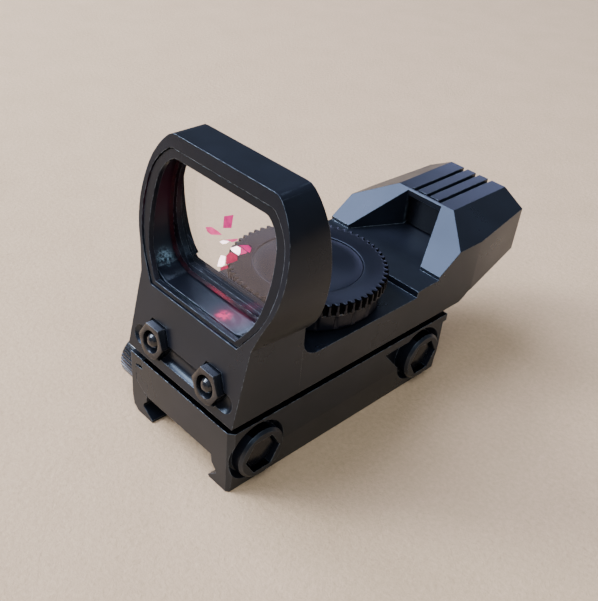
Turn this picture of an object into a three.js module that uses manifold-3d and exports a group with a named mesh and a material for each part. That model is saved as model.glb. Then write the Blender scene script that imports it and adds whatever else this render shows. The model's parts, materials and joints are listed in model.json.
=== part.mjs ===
// Red dot finder: open reflex sight with a hooded window, a toothed brightness dial that holds the
// coin cell, an emitter tower and a rail clamp.  Millimetres, +Z up, +X to the right seen from the
// front, the window faces -Y.  Origin: middle of the flat seat that rests on the rail.
import * as THREE from 'three';
import { mergeVertices } from 'three/addons/utils/BufferGeometryUtils.js';
import Module from 'manifold-3d';

const wasm = await Module();
wasm.setup();

// ------------------------------------------------------------------ driving dimensions
const gap = 0.3;                 // clearance between pieces that rest on each other
const halfBody = 15;             // half width of body and base
const baseLength = 58;
const seatDrop = 9.6;            // the rail seat lies this far under the body's underside
const baseTop = -1.55;           // top of the base, under the parting gap
const baseBottom = -15.6;
const apronLean = 0.218;         // the front face leans back this much for each unit of height
const hoodTop = 40.8;
const hoodRearAtTop = 15.7;
const hoodRearLean = 0.03;       // the rear face of the hood comes forward with height
const sillHeight = 14.8;
const deckHeight = 7.5;          // floor under the dial
const rearDeckHeight = 9.0;      // floor of the light channel
const facetFront = 52.6;
const facetFoot = 9.75;
const towerFront = 64.5;
const towerTop = 17.44;
const towerRear = 82.6;
const towerRearFoot = 4.9;
const towerHalfTop = 7.4;
const towerShoulder = 13.4;
const towerTaperStart = 65.3;
const towerRearHalf = 12.8;
const bellyRear = 61.5;
const dialY = 31;                // dial axis
const dialRadius = 15;
const dialTop = 14;
const dialRimThickness = 2.4;
const dialTeeth = 60;
const drumRadius = 14;
const cellRadius = 10;           // coin cell
const cellThickness = 3.2;
const capRadius = 10.5;
const boltHeight = -9.0;         // cross bolts of the clamp
const boltStations = [6.8, 51.0];
const boltRadius = 2.0;
const bossRadius = 5.2;
const bossFace = 15.9;
const emitterHeight = 12.4;      // optical axis of the emitter
const selectorHeight = 8.6;      // axis of the reticle selector
const dialStops = 11;            // brightness positions
const detentRadius = 11;
const lensFrontAtSill = 9.3;
const lensLean = 0.14;
const lensThickness = 1.7;
const nutHeight = 4.75;          // the two hexagon bosses on the apron
const nutOffset = 7.75;
const slotHeight = 3.8;          // rounded slot across the apron
const slotRadius = 2.2;
const slotEnd = 14.3;
const ledgeHeight = 15.8;        // ledge behind the lens

const housingScrews = [12.9, 45.0];
const boardScrews = [18.2, 55.2];
const bellyHollowRear = 58.0;
const windageY = 74.6;
const windageHeight = 11.2;
const elevationX = 3.2;
const elevationY = 74.6;
const coverScrewX = 8.8;
const coverScrewZ = 9.6;
const towerHollow = [
  [-7.8, 5.6], [7.8, 5.6], [7.8, 13.4], [6.2, 15.4], [-6.2, 15.4], [-7.8, 13.4],
];
const coverSeat = [
  [-10.4, 5.9], [10.4, 5.9], [10.4, 13.4], [7.4, 16.0], [-7.4, 16.0], [-10.4, 13.4],
];

// ------------------------------------------------------------------ solid helpers
function toSolid(geometry) {
  const bare = geometry.index ? geometry.toNonIndexed() : geometry.clone();
  for (const name of Object.keys(bare.attributes)) {
    if (name !== 'position') bare.deleteAttribute(name);
  }
  const welded = mergeVertices(bare, 1e-4);
  const p = welded.attributes.position.array;
  let index = Array.from(welded.index.array);
  const kept = [];
  for (let i = 0; i < index.length; i += 3) {
    const [a, b, c] = [index[i], index[i + 1], index[i + 2]];
    if (a !== b && b !== c && a !== c) kept.push(a, b, c);
  }
  index = kept;
  let volume = 0;
  for (let i = 0; i < index.length; i += 3) {
    const [a, b, c] = [index[i] * 3, index[i + 1] * 3, index[i + 2] * 3];
    volume += p[a] * (p[b + 1] * p[c + 2] - p[b + 2] * p[c + 1]);
    volume += p[a + 1] * (p[b + 2] * p[c] - p[b] * p[c + 2]);
    volume += p[a + 2] * (p[b] * p[c + 1] - p[b + 1] * p[c]);
  }
  if (volume < 0) index.reverse();
  return new wasm.Manifold(new wasm.Mesh({
    numProp: 3,
    vertProperties: new Float32Array(p),
    triVerts: new Uint32Array(index),
  }));
}

function shapeOf(points) {
  return new THREE.Shape(points.map(([u, v]) => new THREE.Vector2(u, v)));
}

// A flat outline pushed along one axis: 'y' takes (x,z) points, 'x' takes (y,z), 'z' takes (x,y).
function prism(axis, points, from, to, holes = []) {
  const shape = shapeOf(points);
  for (const hole of holes) shape.holes.push(shapeOf(hole));
  const g = new THREE.ExtrudeGeometry(shape, { depth: to - from, bevelEnabled: false, curveSegments: 1 });
  const m = new THREE.Matrix4();
  const X = new THREE.Vector3(1, 0, 0);
  const Y = new THREE.Vector3(0, 1, 0);
  const Z = new THREE.Vector3(0, 0, 1);
  if (axis === 'y') m.makeBasis(X, Z, Y.clone().negate()).setPosition(0, to, 0);
  if (axis === 'x') m.makeBasis(Y, Z, X).setPosition(from, 0, 0);
  if (axis === 'z') m.makeBasis(X, Y, Z).setPosition(0, 0, from);
  g.applyMatrix4(m);
  return toSolid(g);
}

function block(x0, x1, y0, y1, z0, z1) {
  return prism('z', [[x0, y0], [x1, y0], [x1, y1], [x0, y1]], z0, z1);
}

// A turned body: profile of [radius, station] pairs along an axis through the given centre.
function turned(axis, centre, profile, segments = 40) {
  const g = new THREE.LatheGeometry(profile.map(([r, s]) => new THREE.Vector2(r, s)), segments);
  if (axis === 'z') g.rotateX(Math.PI / 2);
  if (axis === 'x') g.rotateZ(-Math.PI / 2);
  g.translate(centre[0], centre[1], centre[2]);
  return toSolid(g);
}

function rod(axis, centre, radius, from, to, segments = 40) {
  return turned(axis, centre, [[0, from], [radius, from], [radius, to], [0, to]], segments);
}

function tube(axis, centre, inner, outer, from, to, segments = 40) {
  const ring = [[inner, from], [outer, from], [outer, to], [inner, to], [inner, from]];
  return turned(axis, centre, ring, segments);
}

function polygon(sides, radius, turn, cx = 0, cy = 0) {
  const list = [];
  for (let i = 0; i < sides; i += 1) {
    const a = turn + (i * 2 * Math.PI) / sides;
    list.push([cx + radius * Math.cos(a), cy + radius * Math.sin(a)]);
  }
  return list;
}

function arc(cx, cy, radius, a0, a1, steps) {
  const list = [];
  for (let i = 0; i <= steps; i += 1) {
    const a = ((a0 + ((a1 - a0) * i) / steps) * Math.PI) / 180;
    list.push([cx + radius * Math.cos(a), cy + radius * Math.sin(a)]);
  }
  return list;
}

function smooth(points, steps) {
  const curve = new THREE.CatmullRomCurve3(points.map(([u, v]) => new THREE.Vector3(u, v, 0)));
  return curve.getPoints(steps).map((p) => [p.x, p.y]);
}

// Right half of an outline, bottom to top, closed by its mirror image.
function mirrored(half) {
  const left = half.filter(([u]) => Math.abs(u) > 1e-6).map(([u, v]) => [-u, v]).reverse();
  return half.concat(left);
}

function toothed(teeth, outer, inner, share) {
  const list = [];
  for (let i = 0; i < teeth; i += 1) {
    const half = 0.5 * share;
    const corners = [[-half - 0.12, inner], [-half, outer], [half, outer], [half + 0.12, inner]];
    for (const [offset, r] of corners) {
      const a = ((i + offset) * 2 * Math.PI) / teeth;
      list.push([r * Math.cos(a), r * Math.sin(a)]);
    }
  }
  return list;
}

// ------------------------------------------------------------------ materials and assembly
const group = new THREE.Group();
group.name = 'red_dot_finder';

function paint(color, roughness, metalness, extra = {}) {
  return new THREE.MeshStandardMaterial({ color, roughness, metalness, ...extra });
}
const anodised = paint(0x16171a, 0.42, 0.85);
const satinBlack = paint(0x0e0e10, 0.5, 0.3);
const blackSteel = paint(0x101114, 0.35, 0.9);
const brightSteel = paint(0xb9bcc2, 0.25, 1.0);
const brass = paint(0xb48a45, 0.35, 1.0);
const rubber = paint(0x0a0a0a, 0.9, 0.0);
const boardGreen = paint(0x14502c, 0.5, 0.1);
const glass = paint(0xd8e4e8, 0.05, 0.0, { transparent: true, opacity: 0.3 });
const redLed = paint(0xc01818, 0.3, 0.0);

function add(name, body, material) {
  const pieces = body.decompose().sort((a, b) => b.volume() - a.volume());
  const mesh = pieces[0].getMesh();
  const g = new THREE.BufferGeometry();
  const packed = new Float32Array(mesh.vertProperties);
  g.setAttribute('position', new THREE.BufferAttribute(packed, 3));
  g.setIndex(Array.from(mesh.triVerts));
  g.translate(0, -baseLength / 2, seatDrop);
  const flat = g.toNonIndexed();
  flat.computeVertexNormals();
  const node = new THREE.Mesh(flat, material);
  node.name = name;
  group.add(node);
}

// ------------------------------------------------------------------ outlines of the hood
// Each outline is a flat foot, a curved side and a flat top, mirrored about the middle.
function hoodShape(foot, side, steps, top) {
  return mirrored(foot.concat(smooth(side, steps), top));
}

const hoodOutline = hoodShape([[halfBody, 0]], [
  [15, 15], [16.3, 19], [17.9, 23], [18.65, 27.4], [18.4, 31.3],
  [17.5, 35.0], [16.4, 37.2], [15.2, 38.9], [13.9, 40.2],
], 30, [[13.0, 40.7], [12.0, hoodTop]]);

// the hood swells a little towards the rear, low on its sides
const hoodRearOutline = hoodShape([[halfBody, 0]], [
  [15.1, 14.4], [16.9, 17.2], [18.3, 22], [18.8, 27], [18.4, 31.3],
  [17.5, 35.0], [16.4, 37.2], [15.2, 38.9], [13.9, 40.2],
], 30, [[13.0, 40.7], [12.0, hoodTop]]);

const boreOutline = hoodShape([[9.6, sillHeight]], [
  [12.7, 16.0], [14.9, 18.4], [16.5, 22.8], [17.0, 27.4], [16.8, 31.2], [15.9, 34.6], [14.2, 36.9],
], 20, [[13.1, 37.8], [12.2, 38.2]]);

// stop ring behind the lens, and the wider opening behind the stop ring
const stopOutline = hoodShape([[10.4, ledgeHeight]], [
  [12.0, 17.2], [14.2, 20.0], [15.8, 24.0], [16.2, 27.6], [16.0, 31.2], [15.1, 34.2], [13.4, 36.3],
], 16, [[12.4, 37.2], [11.6, 37.5]]);

const rearOutline = hoodShape([[12.6, ledgeHeight - 0.2]], [
  [14.3, 18.0], [16.1, 22.0], [17.2, 27.4], [16.9, 31.4], [16.0, 34.8], [14.2, 37.2],
], 14, [[13.1, 38.0], [12.2, 38.3]]);

const reliefOutline = hoodShape([[13.8, 14.0]], [
  [15.3, 15.6], [16.7, 18.4], [17.7, 22.2], [18.2, 27.2], [17.85, 31.4], [16.8, 35.2], [14.9, 38.0],
], 14, [[13.5, 39.2], [12.3, 39.5]]);

const stepOutline = hoodShape([[11.8, 13.8]], [
  [12.7, 15.0], [15.8, 19.8], [17.2, 24.1], [17.6, 28.8], [16.9, 33.4], [15.7, 35.7], [14.2, 37.4],
], 22, [[13.2, 38.2], [12.3, 38.5]]);

const clearOutline = hoodShape([[10.9, 14.7]], [
  [11.6, 15.4], [14.2, 19.6], [15.3, 24.3], [15.5, 28.6], [14.9, 33.0], [13.8, 35.2], [12.5, 36.4],
], 20, [[11.8, 36.8], [11.2, 36.9]]);

// A slab between two planes that lean in y with height: y = from + lean * z, y = to + lean2 * z.
function leaningSlab(from, lean, to, lean2) {
  const low = -2;
  const high = 44;
  return prism('x', [
    [from + lean * low, low],
    [to + lean2 * low, low],
    [to + lean2 * high, high],
    [from + lean * high, high],
  ], -24, 24);
}

function leaned(outline, from, lean, to, lean2) {
  return prism('y', outline, -6, 34).intersect(leaningSlab(from, lean, to, lean2));
}

// A body between two outlines of the same number of points, each on its own leaning plane.
function loft(front, frontFoot, frontLean, rear, rearFoot, rearLean) {
  const flat = [];
  const outlines = [[front, frontFoot, frontLean], [rear, rearFoot, rearLean]];
  for (const [outline, foot, lean] of outlines) {
    for (const [x, z] of outline) flat.push(x, foot + lean * z, z);
  }
  const count = front.length;
  const index = [];
  for (let i = 0; i < count; i += 1) {
    const j = (i + 1) % count;
    index.push(i, j, count + j, i, count + j, count + i);
  }
  const caps = [[front, 0], [rear, count]];
  for (const [outline, start] of caps) {
    const corners = outline.map(([x, z]) => new THREE.Vector2(x, z));
    for (const [a, b, c] of THREE.ShapeUtils.triangulateShape(corners, [])) {
      if (start === 0) index.push(a, c, b);
      if (start > 0) index.push(start + a, start + b, start + c);
    }
  }
  const g = new THREE.BufferGeometry();
  g.setAttribute('position', new THREE.Float32BufferAttribute(flat, 3));
  g.setIndex(index);
  return toSolid(g);
}

const hoodRearFoot = hoodRearAtTop + hoodRearLean * hoodTop;
const lensFrontFoot = lensFrontAtSill - lensLean * sillHeight;
const lensRearFoot = lensFrontFoot + lensThickness;

// ------------------------------------------------------------------ housing
function makeHousing() {
  const lower = prism('x', [
    [0, 0],
    [bellyRear, 0],
    [63.0, 0.7],
    [64.4, 1.7],
    [81.8, towerRearFoot],
    [towerRear, towerTop],
    [towerFront, towerTop],
    [facetFront, facetFoot],
    [facetFront, rearDeckHeight],
    [48.8, rearDeckHeight],
    [46.4, rearDeckHeight - 0.25],
    [46.2, deckHeight],
    [19.4, deckHeight],
    ...arc(19.4, deckHeight + 4, 4, 262, 188, 6),
    [15.4, 11.5],
    [15.4, 14.0],
    [13.6, ledgeHeight],
    [apronLean * ledgeHeight, ledgeHeight],
  ], -halfBody, halfBody);
  const hood = loft(hoodOutline, 0, apronLean, hoodRearOutline, hoodRearFoot, -hoodRearLean);
  const belowHood = block(-30, 30, 15.4, 40, -5, 14.4);
  let body = lower.add(hood.subtract(belowHood));
  // tower: shoulders, taper to the rear
  const slope = (towerTop - towerShoulder) / (halfBody - towerHalfTop);
  for (const side of [-1, 1]) {
    const shoulder = [
      [side * towerHalfTop, towerTop],
      [side * (halfBody + 5), towerShoulder - 5 * slope],
      [side * (halfBody + 5), towerTop + 6],
      [side * towerHalfTop, towerTop + 6],
    ];
    body = body.subtract(prism('y', shoulder, 47, 90));
    const taper = (halfBody - towerRearHalf) / (towerRear - towerTaperStart);
    const wedge = [
      [side * halfBody, towerTaperStart],
      [side * (halfBody + 8), towerTaperStart],
      [side * (halfBody + 8), 92],
      [side * (halfBody - taper * (92 - towerTaperStart)), 92],
    ];
    body = body.subtract(prism('z', wedge, -3, 30));
  }
  // light channel and the pocket under the brow
  const channel = [
    [-10.35, facetFront - 0.6],
    [10.35, facetFront - 0.6],
    [4.5, 64.1],
    [-4.5, 64.1],
  ];
  body = body.subtract(prism('z', channel, rearDeckHeight, 30));
  body = body.subtract(block(-4.5, 4.5, 63.9, 66.2, rearDeckHeight, 16.0));
  // three grooves on the tower top, open at the rear
  for (const x of [-3.32, 0, 3.32]) {
    body = body.subtract(block(x - 0.5, x + 0.5, 64.8, 90, towerTop - 0.9, towerTop + 3));
  }
  body = body.subtract(block(-4.1, 3.82, 64.75, 65.3, towerTop - 0.9, towerTop + 3));
  // hood: counterbore for the bezel, bore for the lens, smaller opening behind it
  body = body.subtract(leaned(stepOutline, -3, apronLean, 1.5, apronLean));
  body = body.subtract(leaned(boreOutline, -3, apronLean, lensRearFoot + gap, lensLean));
  body = body.subtract(leaned(stopOutline, 4, apronLean, 30, 0));
  body = body.subtract(leaned(rearOutline, lensRearFoot + gap + 1.1, lensLean, 30, 0));
  body = body.subtract(leaned(reliefOutline, 13.0, 0.065, 30, 0));
  body = body.subtract(prism('x', [
    [15.4, 14.0], [20, 14.0], [20, ledgeHeight + 0.2], [13.4, ledgeHeight + 0.2], [13.4, ledgeHeight + 0.01],
    [13.6, ledgeHeight],
  ], -13.3, 13.3));
  // slot across the apron, round in section, with ball ends
  const slotAxis = apronLean * slotHeight - 1.25;
  const slot = [
    ...arc(0, -slotEnd + slotRadius, slotRadius, -90, 0, 6),
    ...arc(0, slotEnd - slotRadius, slotRadius, 0, 90, 6),
  ];
  slot[0][0] = 0;
  slot[slot.length - 1][0] = 0;
  body = body.subtract(turned('x', [0, slotAxis, slotHeight], slot, 32));
  // seats of the two hexagon bosses and their screws
  for (const side of [-1, 1]) {
    const seat = polygon(6, 3.95, 0, side * nutOffset, nutHeight);
    body = body.subtract(leaned(seat, -3, apronLean, 1.1, apronLean));
    body = body.subtract(rod('y', [side * nutOffset, 0, nutHeight], 1.9, 1, 9.4, 24));
  }
  // round clearance for the drum, dial bearing, detent pocket
  body = body.subtract(rod('z', [0, dialY, 0], drumRadius + 0.4, deckHeight, 11.6, 72));
  body = body.subtract(rod('z', [0, dialY, 0], 6.6, 3, 9));
  // hollow in the belly for the circuit board, passage to the tower, hollow of the tower
  body = body.subtract(block(-12.2, 12.2, 15.5, bellyHollowRear, -2, 5.4));
  body = body.add(rod('z', [0, housingScrews[1], 0], 3.2, 0, 5.6, 32));
  for (const y of boardScrews) body = body.add(rod('z', [0, y, 0], 2.4, 3.2, 5.6, 28));
  body = body.add(rod('z', [detentRadius, dialY, 0], 2.1, 3.4, 5.6, 24));
  body = body.subtract(rod('z', [detentRadius, dialY, 0], 1.15, 3.9, 9, 20));
  body = body.subtract(block(-4.4, -1.8, bellyHollowRear - 0.5, 69.0, 2.6, 7.0));
  body = body.subtract(prism('y', towerHollow, 68.4, 90));
  body = body.subtract(prism('y', coverSeat, 80.3, 90));
  // aperture of the emitter and the seat of its window
  body = body.subtract(rod('y', [0, 0, emitterHeight], 2.2, 66, 70, 28));
  body = body.subtract(rod('y', [0, 0, emitterHeight], 3.0, 65, 67.2, 28));
  // adjuster bores: windage in the left wall, elevation in the sloping underside
  body = body.subtract(rod('x', [0, windageY, windageHeight], 1.7, -20, -6, 24));
  body = body.subtract(rod('x', [0, windageY, windageHeight], 2.5, -20, -12.4, 28));
  body = body.subtract(rod('z', [elevationX, elevationY, 0], 1.7, 0, 7, 24));
  body = body.subtract(rod('z', [elevationX, elevationY, 0], 2.5, 0, 4.7, 28));
  // threaded holes for the screws from the base, for the board and for the cover
  body = body.subtract(rod('z', [0, housingScrews[0], 0], 1.65, -1, 7.0, 24));
  body = body.subtract(rod('z', [0, housingScrews[1], 0], 1.65, -1, 5.0, 24));
  for (const y of boardScrews) body = body.subtract(rod('z', [0, y, 0], 1.25, 3, 6.2, 20));
  for (const side of [-1, 1]) {
    body = body.subtract(rod('y', [side * coverScrewX, 0, coverScrewZ], 0.7, 76, 82, 16));
  }
  return body;
}
add('housing', makeHousing(), anodised);

// ------------------------------------------------------------------ window
// A convex outline moved inwards by the same amount all round.
function inset(outline, amount) {
  const count = outline.length;
  return outline.map(([u, v], i) => {
    const [pu, pv] = outline[(i + count - 1) % count];
    const [nu, nv] = outline[(i + 1) % count];
    const before = new THREE.Vector2(u - pu, v - pv).normalize();
    const after = new THREE.Vector2(nu - u, nv - v).normalize();
    const normal = new THREE.Vector2(-before.y - after.y, before.x + after.x).normalize();
    const reach = amount / Math.max(0.5, Math.sqrt((1 + before.dot(after)) / 2));
    return [u + normal.x * reach, v + normal.y * reach];
  });
}

// the lens drops into the bore from the front and stops against the ledge of the rear opening
const lensOutline = inset(boreOutline, 0.25);
add('reflex_lens', leaned(lensOutline, lensFrontFoot, lensLean, lensRearFoot, lensLean), glass);

// a frame in the counterbore keeps the lens from coming out
const bezelOuter = leaned(inset(stepOutline, 0.2), 0.25, apronLean, 1.25, apronLean);
const bezelInner = leaned(clearOutline, -3, apronLean, 4, apronLean);
add('lens_bezel', bezelOuter.subtract(bezelInner), anodised);

// ------------------------------------------------------------------ apron bosses
function hexRod(axis, centre, flats, from, to) {
  const points = polygon(6, flats / Math.sqrt(3), 0, centre[0], centre[1]);
  return prism(axis, points, from, to);
}

for (const [word, side] of [['left', -1], ['right', 1]]) {
  const cx = side * nutOffset;
  let boss = hexRod('y', [cx, nutHeight], 6.2, -4, 4);
  boss = boss.intersect(leaningSlab(-0.85, apronLean * 0.62, 0.8, apronLean));
  const crown = [[0, -1.3], [2.9, -1.3], [4.2, 1.2], [4.2, 4], [0, 4]];
  boss = boss.intersect(turned('y', [cx, 0, nutHeight], crown, 30));
  boss = boss.subtract(rod('y', [cx, 0, nutHeight], 2.15, -4, 5, 32));
  add('apron_boss_' + word, boss, blackSteel);
  const domed = [
    [0, -0.55], [0.55, -0.45], [1.05, -0.15], [1.42, 0.3], [1.62, 0.8], [1.7, 1.4],
    [1.7, 8.6], [1.2, 9.0], [0, 9.0],
  ];
  add('apron_screw_' + word, turned('y', [cx, 0, nutHeight], domed, 28), blackSteel);
}

// ------------------------------------------------------------------ dial with the coin cell
function makeKnob() {
  const rimFrom = dialTop - dialRimThickness;
  const rim = prism('z', toothed(dialTeeth, dialRadius, dialRadius - 0.75, 0.5), rimFrom, dialTop);
  const core = turned('z', [0, 0, 0], [
    [0, deckHeight + gap],
    [drumRadius - 0.4, deckHeight + gap],
    [drumRadius, deckHeight + gap + 0.4],
    [drumRadius, rimFrom + 0.2],
    [drumRadius - 0.2, dialTop - 0.02],
    [0, dialTop - 0.02],
  ], 64);
  let knob = rim.add(core);
  // shallow flutes down the side of the drum
  for (let i = 0; i < 24; i += 1) {
    const a = ((i + 0.5) * Math.PI) / 12;
    const x = (drumRadius + 0.55) * Math.cos(a);
    const y = (drumRadius + 0.55) * Math.sin(a);
    knob = knob.subtract(rod('z', [x, y, 0], 0.85, deckHeight - 1, rimFrom - 0.25, 8));
  }
  knob = knob.add(rod('z', [0, 0, 0], 6.2, 5.1, deckHeight + 1, 40));
  knob = knob.add(rod('z', [0, 0, 0], 4.6, 3.95, 5.4, 36));
  // chamber for the cell, wider mouth for the cap
  knob = knob.subtract(rod('z', [0, 0, 0], cellRadius + 0.35, 9.4, 20, 56));
  knob = knob.subtract(rod('z', [0, 0, 0], capRadius + 0.3, 13.35, 20, 56));
  // running groove for the detent ball under the drum, with a deeper notch at each stop
  const groove = [
    [detentRadius - 1.15, 7], [detentRadius + 1.15, 7], [detentRadius + 1.15, 8.4],
    [detentRadius - 1.15, 8.4], [detentRadius - 1.15, 7],
  ];
  knob = knob.subtract(turned('z', [0, 0, 0], groove, 56));
  for (let i = 0; i < dialStops; i += 1) {
    const a = (i * 2 * Math.PI) / dialStops;
    const x = detentRadius * Math.cos(a);
    const y = detentRadius * Math.sin(a);
    knob = knob.subtract(rod('z', [x, y, 0], 0.85, 7, 8.75, 10));
  }
  return knob.translate([0, dialY, 0]);
}
add('dial_knob', makeKnob(), satinBlack);

let cap = turned('z', [0, dialY, 0], [
  [0, 13.65],
  [capRadius, 13.65],
  [capRadius, 14.15],
  [capRadius - 0.25, 14.4],
  [0, 14.4],
], 64);
cap = cap.subtract(block(-6.2, 6.2, dialY - 0.75, dialY + 0.75, 14.0, 15));
add('battery_cap', cap, satinBlack);

const cellBottom = 10.1;
add('coin_cell', turned('z', [0, dialY, 0], [
  [0, cellBottom],
  [8.4, cellBottom],
  [8.9, cellBottom + 0.35],
  [cellRadius - 0.15, cellBottom + 0.35],
  [cellRadius, cellBottom + 0.6],
  [cellRadius, cellBottom + cellThickness - 0.15],
  [cellRadius - 0.15, cellBottom + cellThickness],
  [0, cellBottom + cellThickness],
], 48), brightSteel);

// sprung leaf under the cell: a star of three arms
let leaf = rod('z', [0, 0, 0], 2.2, 9.65, 9.85, 24);
for (let i = 0; i < 3; i += 1) {
  leaf = leaf.add(block(-0.9, 0.9, 0, 7.2, 9.65, 9.85).rotate([0, 0, i * 120]));
}
add('cell_contact', leaf.translate([0, dialY, 0]), brass);

// washer that keeps the dial in its bearing, and the wiper that turns with it over the board
add('dial_retainer', tube('z', [0, dialY, 0], 4.8, 8.6, 4.3, 4.8, 40), brightSteel);
let wiper = tube('z', [0, dialY, 0], 1.4, 4.4, 3.35, 3.65, 32);
wiper = wiper.add(block(-0.8, 0.8, dialY + 3.5, dialY + 8.4, 3.35, 3.65));
add('dial_wiper', wiper, brass);

// detent: a sprung ball in the deck
const ballRadius = 0.9;
const ballHeight = 7.35;
const ballArc = arc(0, 0, ballRadius, -90, 90, 10);
ballArc[0][0] = 0;
ballArc[10][0] = 0;
add('detent_ball', turned('z', [detentRadius, dialY, ballHeight], ballArc, 20), brightSteel);

function coil(axis, centre, radius, wire, from, to, turns) {
  const points = [];
  const count = Math.ceil(turns * 10);
  for (let i = 0; i <= count; i += 1) {
    const a = (i / 10) * 2 * Math.PI;
    const s = from + wire + ((to - from - 2 * wire) * i) / count;
    points.push(new THREE.Vector3(radius * Math.cos(a), radius * Math.sin(a), s));
  }
  const path = new THREE.CatmullRomCurve3(points);
  const section = shapeOf(polygon(5, wire, 0));
  const g = new THREE.ExtrudeGeometry(section, { steps: count, extrudePath: path, bevelEnabled: false });
  if (axis === 'x') g.rotateY(Math.PI / 2);
  if (axis === 'y') g.rotateX(-Math.PI / 2);
  g.translate(centre[0], centre[1], centre[2]);
  return toSolid(g);
}
add('detent_spring', coil('z', [detentRadius, dialY, 0], 0.72, 0.13, 4.05, 6.4, 3), brightSteel);

// ------------------------------------------------------------------ circuit board
let board = block(-11.6, 11.6, 16.1, bellyHollowRear - 0.6, 1.3, 2.9);
for (const y of boardScrews) board = board.subtract(rod('z', [0, y, 0], 1.3, 0, 4, 20));
board = board.subtract(rod('z', [0, housingScrews[1], 0], 3.6, 0, 4, 32));
add('circuit_board', board, boardGreen);
for (const [word, y] of [['front', boardScrews[0]], ['rear', boardScrews[1]]]) {
  const head = [[0, 0.1], [1.9, 0.1], [1.9, 1.0], [0.95, 1.0], [0.95, 5.8], [0, 5.8]];
  add('board_screw_' + word, turned('z', [0, y, 0], head, 20), brightSteel);
}
add('driver_chip', block(4.8, 9.8, 44.2, 49.2, 3.2, 4.6), satinBlack);

// ------------------------------------------------------------------ emitter and reticle selector
let emitter = rod('y', [0, 0, emitterHeight], 2.55, 70.6, 74.0, 32);
emitter = emitter.add(block(-4.5, 4.5, 73.3, 75.9, 10.35, 14.5));
emitter = emitter.subtract(rod('y', [0, 0, emitterHeight], 1.85, 70, 73.7, 28));
emitter = emitter.subtract(rod('y', [0, 0, emitterHeight], 1.0, 73, 77, 20));
add('emitter_tube', emitter, satinBlack);
add('led', turned('y', [0, 0, emitterHeight], [
  [0, 71.0], [0.9, 71.25], [1.4, 72.0], [1.4, 73.3], [0.65, 73.3], [0.65, 76.9], [0, 76.9],
], 24), redLed);
add('led_board', rod('y', [0, 0, emitterHeight], 2.7, 77.2, 78.0, 28), boardGreen);
add('emitter_window', block(-4.2, 4.2, 64.75, 65.35, rearDeckHeight + gap, 15.7), glass);

// plate with four pattern windows on the shaft of the selector lever
const patternRadius = emitterHeight - selectorHeight;
const plateOuter = 6.1;
let plate = rod('y', [0, 0, selectorHeight], 2.2, 69.1, 69.7, 28);
const fan = [[0, selectorHeight]];
for (const [u, v] of arc(0, selectorHeight, plateOuter, 76, 194, 14)) fan.push([u, v]);
plate = plate.add(prism('y', fan, 69.1, 69.7));
for (const degrees of [90, 120, 150, 180]) {
  const a = (degrees * Math.PI) / 180;
  const x = patternRadius * Math.cos(a);
  const z = selectorHeight + patternRadius * Math.sin(a);
  plate = plate.subtract(rod('y', [x, 0, z], 0.75, 69, 70, 14));
}
plate = plate.subtract(rod('y', [0, 0, selectorHeight], 1.1, 69, 70, 20));
add('reticle_plate', plate, brightSteel);
add('selector_shaft', rod('y', [0, 0, selectorHeight], 0.8, 68.7, 84.2, 20), brightSteel);

let lever = rod('y', [0, 0, selectorHeight], 3.2, 82.3, 85.0, 32);
const arm = [[-0.95, 1.5], [0.95, 1.5], [0.7, 6.6], [-0.7, 6.6]];
const turnArm = ([u, v]) => {
  const a = Math.PI / 4;
  return [u * Math.cos(a) - v * Math.sin(a), selectorHeight + u * Math.sin(a) + v * Math.cos(a)];
};
lever = lever.add(prism('y', arm.map(turnArm), 82.3, 84.6));
lever = lever.subtract(rod('y', [0, 0, selectorHeight], 1.1, 82, 84.5, 20));
add('reticle_lever', lever, anodised);

let cover = prism('y', inset(coverSeat, 0.3), 80.65, 82.0);
cover = cover.subtract(rod('y', [0, 0, selectorHeight], 1.1, 80, 83, 20));
for (const side of [-1, 1]) {
  cover = cover.subtract(rod('y', [side * coverScrewX, 0, coverScrewZ], 0.8, 80, 83, 16));
}
add('rear_cover', cover, anodised);
for (const [word, side] of [['left', -1], ['right', 1]]) {
  const profile = [
    [0, 76.6], [0.45, 76.6], [0.45, 82.1], [1.15, 82.1], [1.15, 82.6], [0.9, 82.9], [0, 82.9],
  ];
  let screw = turned('y', [side * coverScrewX, 0, coverScrewZ], profile, 20);
  screw = screw.subtract(block(-12, 12, 82.6, 84, coverScrewZ - 0.18, coverScrewZ + 0.18));
  add('cover_screw_' + word, screw, blackSteel);
}

// adjusters with a slotted head, and the spring that pushes back
let windage = turned('x', [0, windageY, windageHeight], [
  [0, -14.0], [2.1, -14.0], [2.1, -12.8], [1.35, -12.8], [1.35, -4.9], [0, -4.9],
], 28);
windage = windage.subtract(block(
  -20, -13.4, windageY - 3, windageY + 3, windageHeight - 0.3, windageHeight + 0.3,
));
add('windage_screw', windage, brightSteel);
let elevation = turned('z', [elevationX, elevationY, 0], [
  [0, 3.5], [2.1, 3.5], [2.1, 4.4], [1.35, 4.4], [1.35, 9.95], [0, 9.95],
], 28);
elevation = elevation.subtract(block(0, 7, elevationY - 0.3, elevationY + 0.3, 0, 3.95));
add('elevation_screw', elevation, brightSteel);
add('emitter_spring', coil('x', [0, windageY, emitterHeight], 1.1, 0.16, 4.7, 7.6, 4), brightSteel);

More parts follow.
